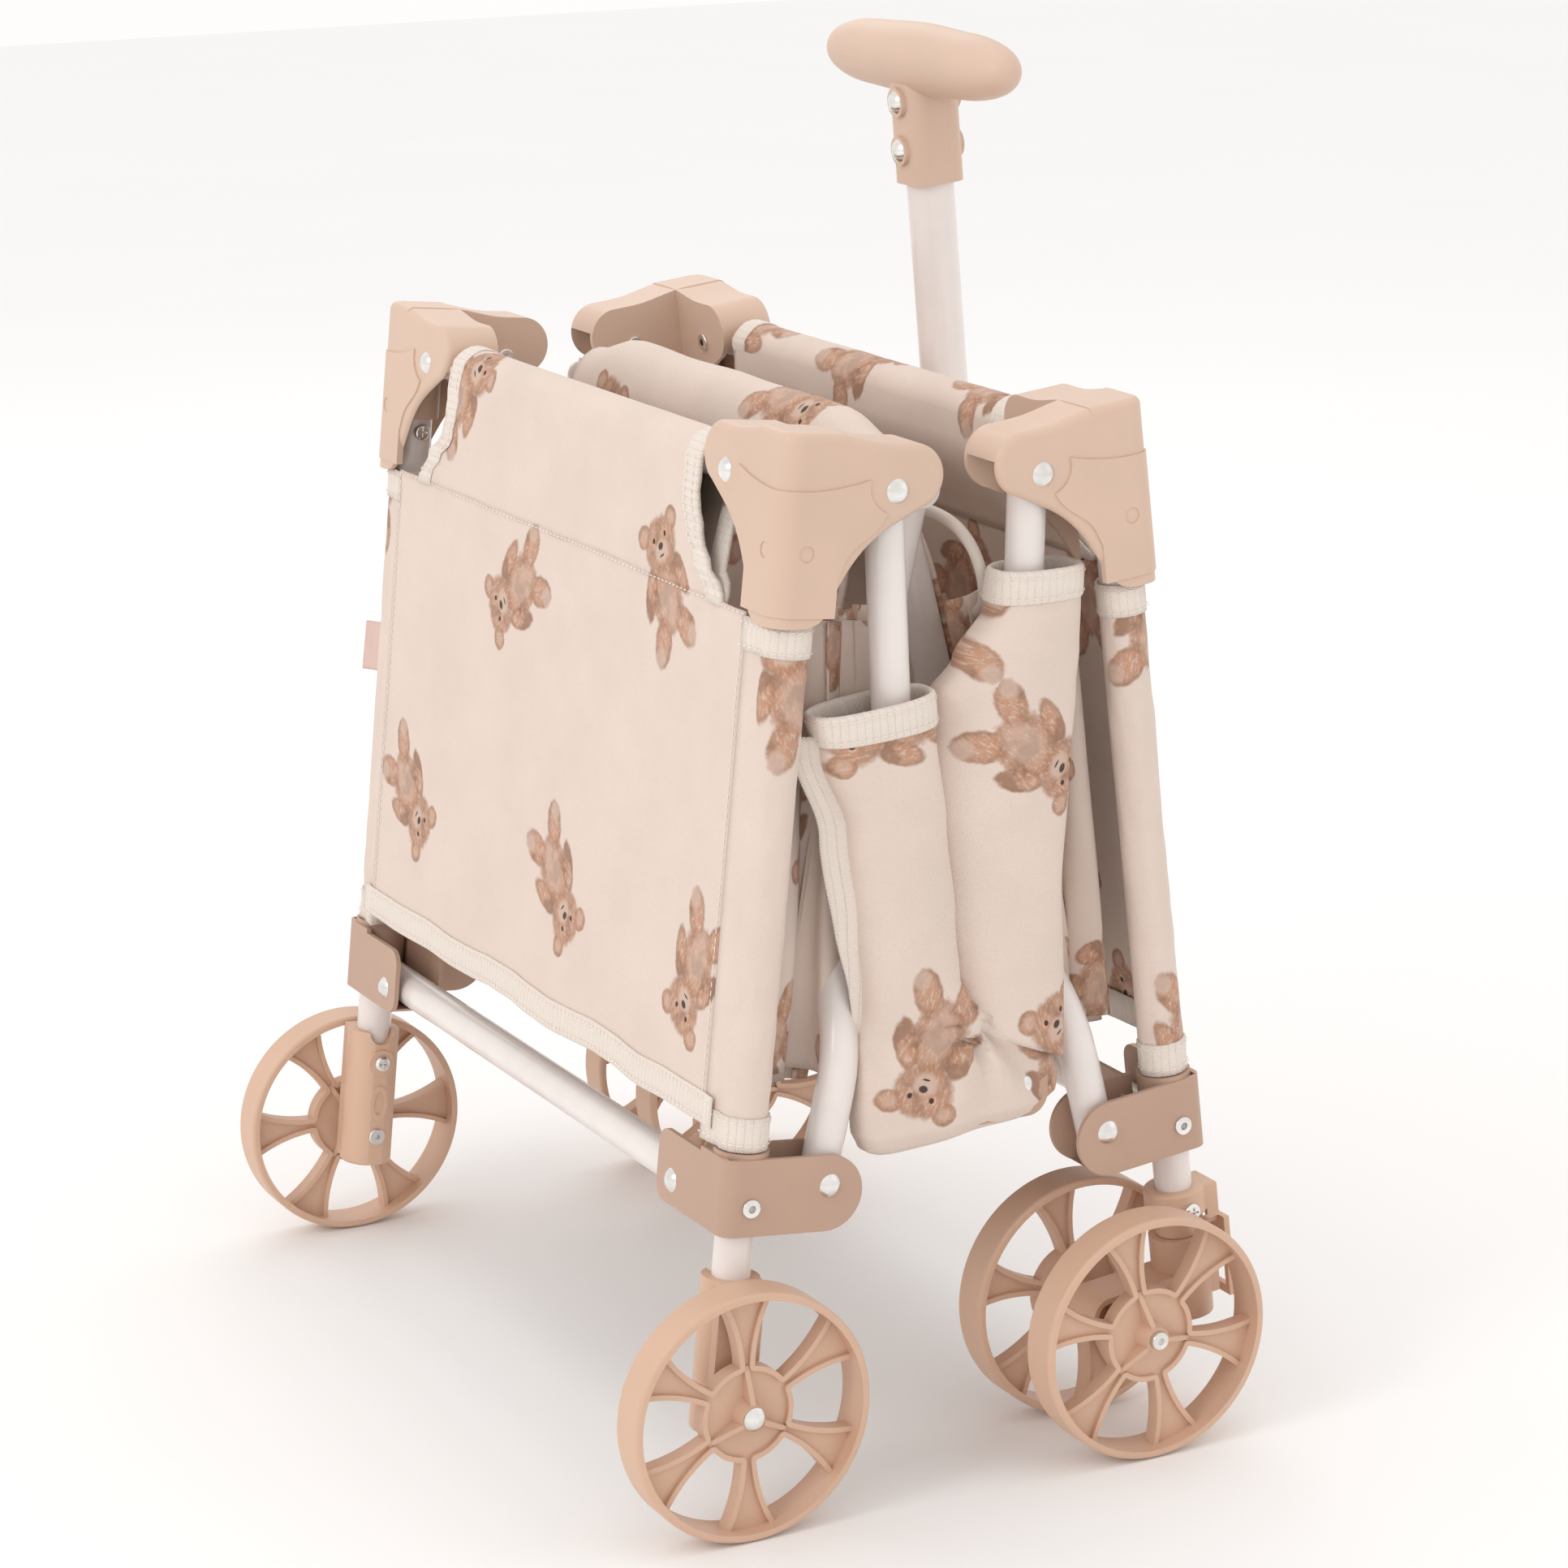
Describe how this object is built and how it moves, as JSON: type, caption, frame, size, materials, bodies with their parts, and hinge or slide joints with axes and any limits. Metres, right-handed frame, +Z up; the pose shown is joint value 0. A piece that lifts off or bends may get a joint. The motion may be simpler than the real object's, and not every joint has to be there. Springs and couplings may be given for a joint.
{
  "type": "folding wagon",
  "caption": "Small child's pull wagon with fabric sides, standing folded: two end frames on wheels, folding side rails, twin-wheel front casters and an upright pull handle.",
  "frame": {"origin": "on the floor, midway between the two end frames where they stand folded, on the wagon's middle plane", "axes": "+X the way the wagon is pulled, +Y its left, +Z up"},
  "size_m": [0.2973, 0.4538, 0.5788],
  "materials": {
    "fabric_print": "woven cotton-look cloth with a brown watercolour print",
    "fabric_plain": "plain cream cloth",
    "cord": "soft braided cord",
    "tube_cream": "gloss cream paint",
    "cap_beige": "fine satin",
    "bracket_beige": "fine satin",
    "wheel_beige": "satin",
    "rivet_steel": "bright"
  },
  "bodies": {
    "rear_frame": {"rear_leg_right": "tube_cream", "rear_leg_left": "tube_cream", "rear_top_tube": "tube_cream", "rear_cross_tube": "tube_cream", "rear_cap_right": "cap_beige", "rear_cap_left": "cap_beige", "rear_bracket_right": "bracket_beige", "rear_bracket_left": "bracket_beige", "rear_wheel_holders": "wheel_beige", "rear_frame_fasteners": "rivet_steel", "rear_panel": "fabric_print", "rear_side_walls": "fabric_print"},
    "rear_wheel_l": {"rear_wheel_left": "wheel_beige"},
    "rear_wheel_r": {"rear_wheel_right": "wheel_beige"},
    "rear_lower_rails": {"rear_lower_rail_right": "tube_cream", "rear_lower_rail_left": "tube_cream", "middle_tube": "tube_cream", "rear_floor": "fabric_plain"},
    "front_lower_rails": {"front_lower_rail_right": "tube_cream", "front_lower_rail_left": "tube_cream", "front_floor": "fabric_plain", "pull_loop": "cord"},
    "front_frame": {"front_leg_right": "tube_cream", "front_leg_left": "tube_cream", "front_top_tube": "tube_cream", "front_cross_tube": "tube_cream", "front_cap_right": "cap_beige", "front_cap_left": "cap_beige", "front_bracket_right": "bracket_beige", "front_bracket_left": "bracket_beige", "caster_collars": "wheel_beige", "front_frame_fasteners": "rivet_steel", "front_panel": "fabric_print", "front_side_walls": "fabric_print", "handle_clamp": "bracket_beige"},
    "rear_upper_rails": {"rear_upper_rail_right": "tube_cream", "rear_upper_rail_left": "tube_cream", "rear_rail_sleeves": "fabric_print"},
    "links": {"folding_link_right": "bracket_beige", "folding_link_left": "bracket_beige", "link_rivets": "rivet_steel", "link_covers": "fabric_print"},
    "front_upper_rails": {"front_upper_rail_right": "tube_cream", "front_upper_rail_left": "tube_cream", "front_rail_sleeves": "fabric_print", "slot_rivets": "rivet_steel"},
    "handle": {"handle_tube": "tube_cream", "grip_body": "cap_beige", "grip_cover": "cap_beige", "handle_fasteners": "rivet_steel"},
    "caster_r": {"caster_fork_right": "wheel_beige", "caster_axle_right": "rivet_steel"},
    "caster_wheel_r_out": {"caster_wheel_right_outer": "wheel_beige"},
    "caster_wheel_r_in": {"caster_wheel_right_inner": "wheel_beige"},
    "lock_r": {"swivel_lock_right": "wheel_beige"},
    "caster_l": {"caster_fork_left": "wheel_beige", "caster_axle_left": "rivet_steel"},
    "caster_wheel_l_out": {"caster_wheel_left_outer": "wheel_beige"},
    "caster_wheel_l_in": {"caster_wheel_left_inner": "wheel_beige"},
    "lock_l": {"swivel_lock_left": "wheel_beige"}
  },
  "joints": [
    {"name": "fold", "type": "hinge", "parent": "rear_frame", "child": "rear_lower_rails", "pos_m": [-0.06555, 0, 0.13786], "axis": [0, 1, 0], "range_deg": [0, 82.71]},
    {"name": "middle_hinge", "type": "hinge", "parent": "rear_lower_rails", "child": "front_lower_rails", "pos_m": [0, 0, 0.41008], "axis": [0, 1, 0], "range_deg": [-152.94, 0]},
    {"name": "front_bracket_hinge", "type": "hinge", "parent": "front_lower_rails", "child": "front_frame", "pos_m": [0.06555, 0, 0.13786], "axis": [0, 1, 0], "range_deg": [0, 82.73]},
    {"name": "rear_cap_hinge", "type": "hinge", "parent": "rear_frame", "child": "rear_upper_rails", "pos_m": [-0.033, 0, 0.41949], "axis": [0, 1, 0], "range_deg": [-81.74, 0]},
    {"name": "link_hinge", "type": "hinge", "parent": "rear_upper_rails", "child": "links", "pos_m": [-0.024, 0, 0.16535], "axis": [0, 1, 0], "range_deg": [0, 87.99]},
    {"name": "front_cap_hinge", "type": "hinge", "parent": "front_frame", "child": "front_upper_rails", "pos_m": [0.033, 0, 0.41949], "axis": [0, 1, 0], "range_deg": [0, 81.74]},
    {"name": "rear_wheel_spin_left", "type": "hinge", "parent": "rear_frame", "child": "rear_wheel_l", "pos_m": [-0.11086, 0.2078, 0.053], "axis": [0, 1, 0], "continuous": true},
    {"name": "rear_wheel_spin_right", "type": "hinge", "parent": "rear_frame", "child": "rear_wheel_r", "pos_m": [-0.11086, -0.2078, 0.053], "axis": [0, 1, 0], "continuous": true},
    {"name": "handle_tilt", "type": "hinge", "parent": "front_frame", "child": "handle", "pos_m": [0.1231, 0, 0.132], "axis": [0, 1, 0], "range_deg": [0, 100]},
    {"name": "caster_swivel_right", "type": "hinge", "parent": "front_frame", "child": "caster_r", "pos_m": [0.1019, -0.1865, 0.1348], "axis": [-0.1089, 0, 0.9941], "continuous": true},
    {"name": "caster_wheel_spin_right_out", "type": "hinge", "parent": "caster_r", "child": "caster_wheel_r_out", "pos_m": [0.0744, -0.2151, 0.053], "axis": [0, 1, 0], "continuous": true},
    {"name": "caster_wheel_spin_right_in", "type": "hinge", "parent": "caster_r", "child": "caster_wheel_r_in", "pos_m": [0.0744, -0.1579, 0.053], "axis": [0, 1, 0], "continuous": true},
    {"name": "swivel_lock_right", "type": "slide", "parent": "caster_r", "child": "lock_r", "axis": [-0.1089, 0, 0.9941], "range_m": [0, 0.003]},
    {"name": "caster_swivel_left", "type": "hinge", "parent": "front_frame", "child": "caster_l", "pos_m": [0.1019, 0.1865, 0.1348], "axis": [-0.1089, 0, 0.9941], "continuous": true},
    {"name": "caster_wheel_spin_left_out", "type": "hinge", "parent": "caster_l", "child": "caster_wheel_l_out", "pos_m": [0.0744, 0.2151, 0.053], "axis": [0, 1, 0], "continuous": true},
    {"name": "caster_wheel_spin_left_in", "type": "hinge", "parent": "caster_l", "child": "caster_wheel_l_in", "pos_m": [0.0744, 0.1579, 0.053], "axis": [0, 1, 0], "continuous": true},
    {"name": "swivel_lock_left", "type": "slide", "parent": "caster_l", "child": "lock_l", "axis": [-0.1089, 0, 0.9941], "range_m": [0, 0.003]}
  ],
  "couplings": [
    {"joint": "middle_hinge", "follows": "fold", "ratio": -1.8489},
    {"joint": "front_bracket_hinge", "follows": "fold", "ratio": 1},
    {"joint": "rear_cap_hinge", "follows": "fold", "ratio": -0.98805},
    {"joint": "link_hinge", "follows": "fold", "ratio": 1.0636},
    {"joint": "front_cap_hinge", "follows": "fold", "ratio": 0.98805}
  ]
}
